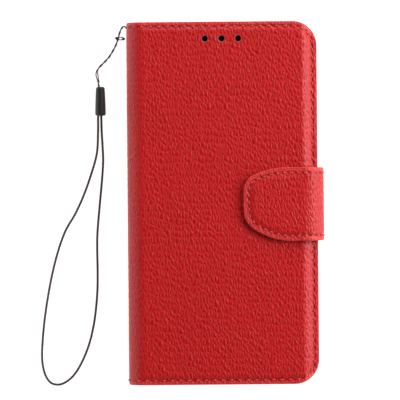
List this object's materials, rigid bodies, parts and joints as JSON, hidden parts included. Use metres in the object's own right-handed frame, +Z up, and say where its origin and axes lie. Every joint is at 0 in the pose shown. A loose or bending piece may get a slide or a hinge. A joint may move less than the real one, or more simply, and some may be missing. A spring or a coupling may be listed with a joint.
{
  "type": "phone wallet case",
  "caption": "Pebbled leather folio case for a phone, with card pockets inside the hinged front cover, a magnetic strap tab and a wrist lanyard.",
  "frame": {"origin": "centre of the back cover's outer face, on which the closed case lies", "axes": "+Z up from the back cover to the front cover, +Y to the top of the phone, +X away from the spine to the strap"},
  "size_m": [0.1234, 0.1567, 0.0203],
  "materials": {
    "outer_leather": "pebble grain, satin",
    "lining": "fine smooth grain, matte",
    "thread": "waxed polyester",
    "board": "pressed fibre",
    "tray": "soft flexible plastic",
    "adhesive": "double-sided film",
    "steel": "plated",
    "bead": "moulded, satin",
    "cord": "braided"
  },
  "bodies": {
    "back_half": {"back_skin": "outer_leather", "back_board": "board", "back_lining": "lining", "back_stitching": "thread", "tray_adhesive": "adhesive", "phone_tray": "tray", "strap_anchor": "outer_leather", "strap_anchor_stitching": "thread", "lanyard_string": "cord", "lanyard_hitch": "cord", "lanyard_bead": "bead", "wrist_loop": "cord"},
    "spine_1": {"spine_skin_1": "outer_leather", "spine_lining_1": "lining", "spine_stitching_1": "thread"},
    "spine_2": {"spine_skin_2": "outer_leather", "spine_lining_2": "lining", "spine_stitching_2": "thread"},
    "front_cover": {"front_skin": "outer_leather", "front_board": "board", "front_lining": "lining", "front_stitching": "thread", "keeper_plate": "steel", "cash_pocket": "lining", "card_pocket_1": "lining", "card_pocket_2": "lining", "card_pocket_3": "lining", "card_pocket_stitching": "thread"},
    "strap_side": {"strap_side_skin": "outer_leather", "strap_side_lining": "lining", "strap_side_stitching": "thread"},
    "strap_tab": {"strap_tab_skin": "outer_leather", "strap_tab_lining": "lining", "strap_core": "board", "strap_magnet": "steel", "strap_tab_stitching": "thread"}
  },
  "joints": [
    {"name": "cover_open", "type": "hinge", "parent": "back_half", "child": "spine_1", "pos_m": [-0.0403, 0, 0.0049], "axis": [0, -1, 0], "range_deg": [0, 84]},
    {"name": "spine_bend", "type": "hinge", "parent": "spine_1", "child": "spine_2", "pos_m": [-0.03939, 0, 0.0132], "axis": [0, -1, 0], "range_deg": [0, 48]},
    {"name": "cover_bend", "type": "hinge", "parent": "spine_2", "child": "front_cover", "pos_m": [-0.0335, 0, 0.0166], "axis": [0, -1, 0], "range_deg": [0, 48]},
    {"name": "strap_fold", "type": "hinge", "parent": "back_half", "child": "strap_side", "pos_m": [0.0427, 0, 0.0018], "axis": [0, 1, 0], "range_deg": [0, 90]},
    {"name": "strap_tab_fold", "type": "hinge", "parent": "strap_side", "child": "strap_tab", "pos_m": [0.0414, 0, 0.0176], "axis": [0, 1, 0], "range_deg": [0, 90]}
  ],
  "couplings": [
    {"joint": "spine_bend", "follows": "cover_open", "ratio": 0.57143},
    {"joint": "cover_bend", "follows": "cover_open", "ratio": 0.57143}
  ]
}
